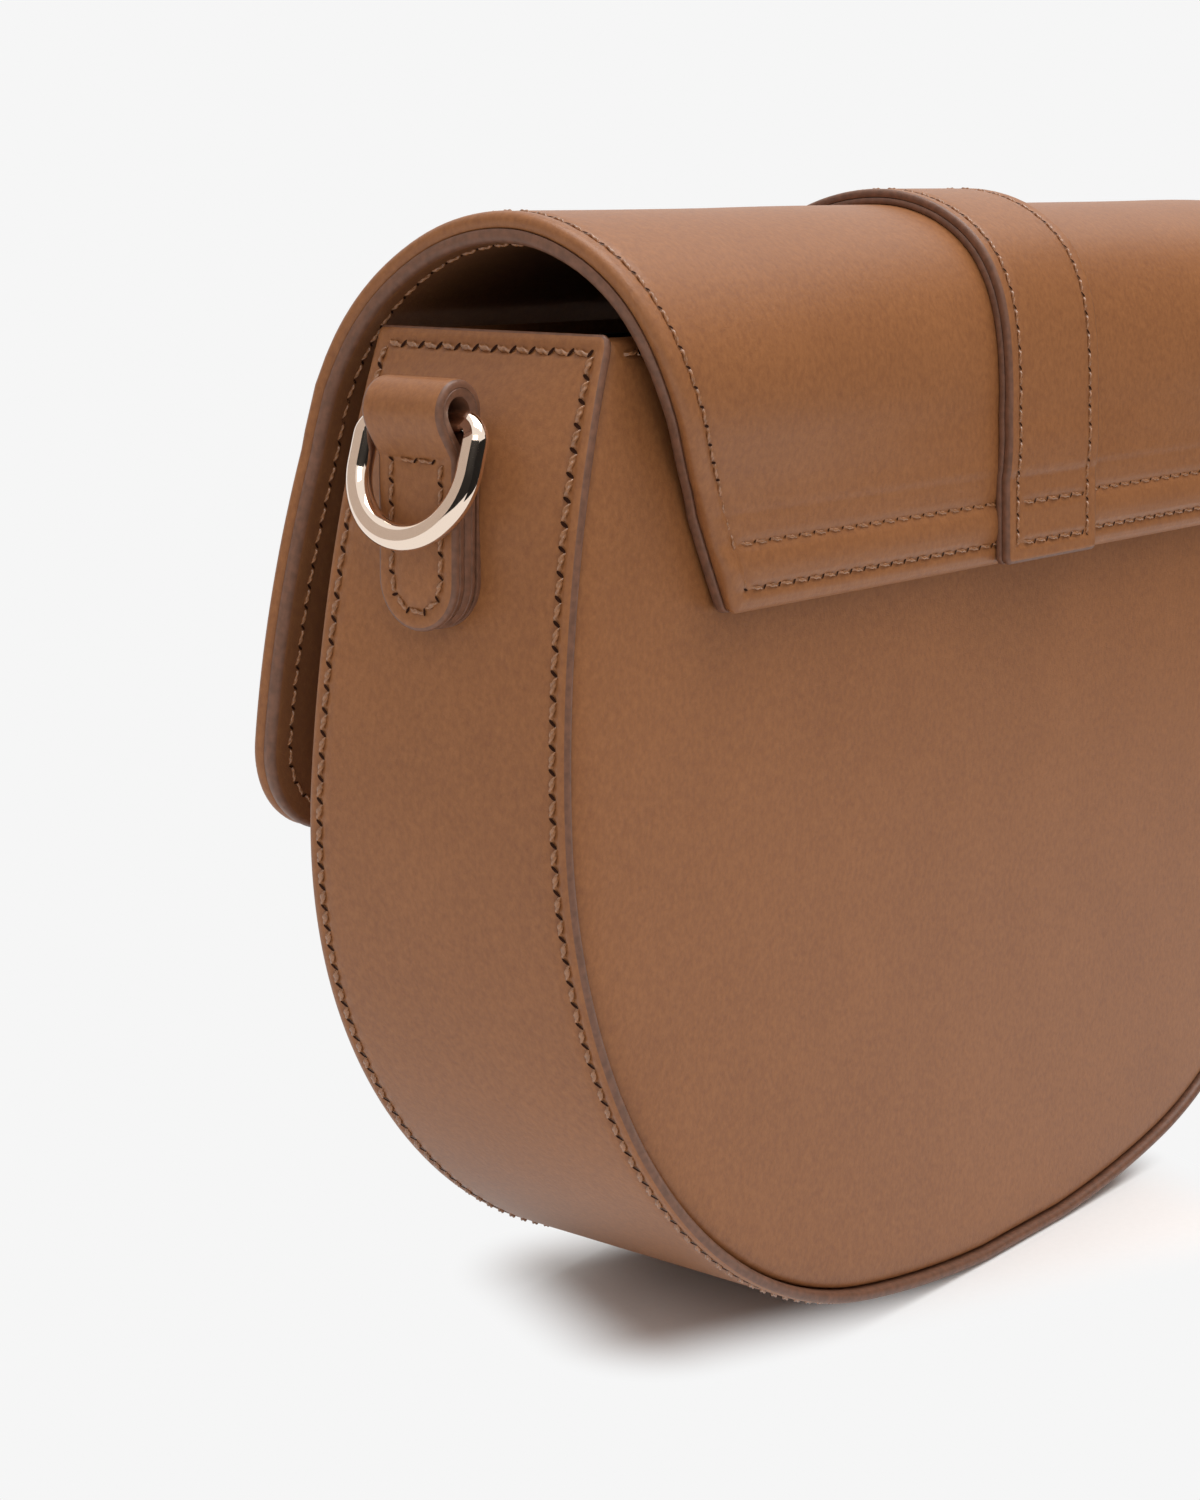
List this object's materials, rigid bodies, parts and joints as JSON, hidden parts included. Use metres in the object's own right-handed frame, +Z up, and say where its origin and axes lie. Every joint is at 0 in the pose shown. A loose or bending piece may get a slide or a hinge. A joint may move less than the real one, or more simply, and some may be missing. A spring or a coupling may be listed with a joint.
{
  "type": "crossbody bag",
  "caption": "Small D-shaped leather crossbody bag: boxed body, arched flap with a centre band, side tabs with swinging D-rings and a hidden magnetic snap.",
  "frame": {"origin": "middle of the flat patch of the base on which the bag stands", "axes": "+X across the bag, +Y towards its back panel, +Z up out of its mouth"},
  "size_m": [0.2596, 0.0741, 0.1772],
  "materials": {
    "tan_leather": "smooth, waxed, semi matte",
    "backing_leather": "smooth with painted cut edges",
    "dark_lining": "matt fine cloth",
    "fibre_board": "bonded leather fibre board, never seen",
    "pale_gold": "polished pale gold plate",
    "snap_brass": "plated, lightly brushed"
  },
  "bodies": {
    "bag": {"gusset": "tan_leather", "back_panel": "tan_leather", "front_panel": "tan_leather", "gusset_board": "fibre_board", "back_board": "fibre_board", "front_board": "fibre_board", "gusset_lining": "dark_lining", "back_lining": "dark_lining", "front_lining": "dark_lining", "slip_pocket": "dark_lining", "flap_seat": "tan_leather", "flap_seat_lining": "backing_leather", "band_seat": "tan_leather", "band_seat_backing": "backing_leather", "tab_backing_right": "backing_leather", "tab_backing_left": "backing_leather", "tab_strip_right": "tan_leather", "tab_strip_left": "tan_leather", "snap_socket": "snap_brass", "snap_socket_washer": "snap_brass"},
    "flap": {"flap_outer": "tan_leather", "flap_lining": "backing_leather", "flap_board": "fibre_board", "centre_band": "tan_leather", "band_backing": "backing_leather", "snap_stud": "snap_brass", "snap_stud_washer": "snap_brass"},
    "ring_right": {"d_ring_right": "pale_gold"},
    "ring_left": {"d_ring_left": "pale_gold"}
  },
  "joints": [
    {"name": "flap_hinge", "type": "hinge", "parent": "bag", "child": "flap", "pos_m": [0, 0.0297, 0.1325], "axis": [-1, 0, 0], "range_deg": [0, 150]},
    {"name": "ring_right_swing", "type": "hinge", "parent": "bag", "child": "ring_right", "pos_m": [0.1232, 0, 0.146], "axis": [0, -1, 0], "range_deg": [0, 160]},
    {"name": "ring_left_swing", "type": "hinge", "parent": "bag", "child": "ring_left", "pos_m": [-0.1232, 0, 0.146], "axis": [0, 1, 0], "range_deg": [0, 160]}
  ]
}
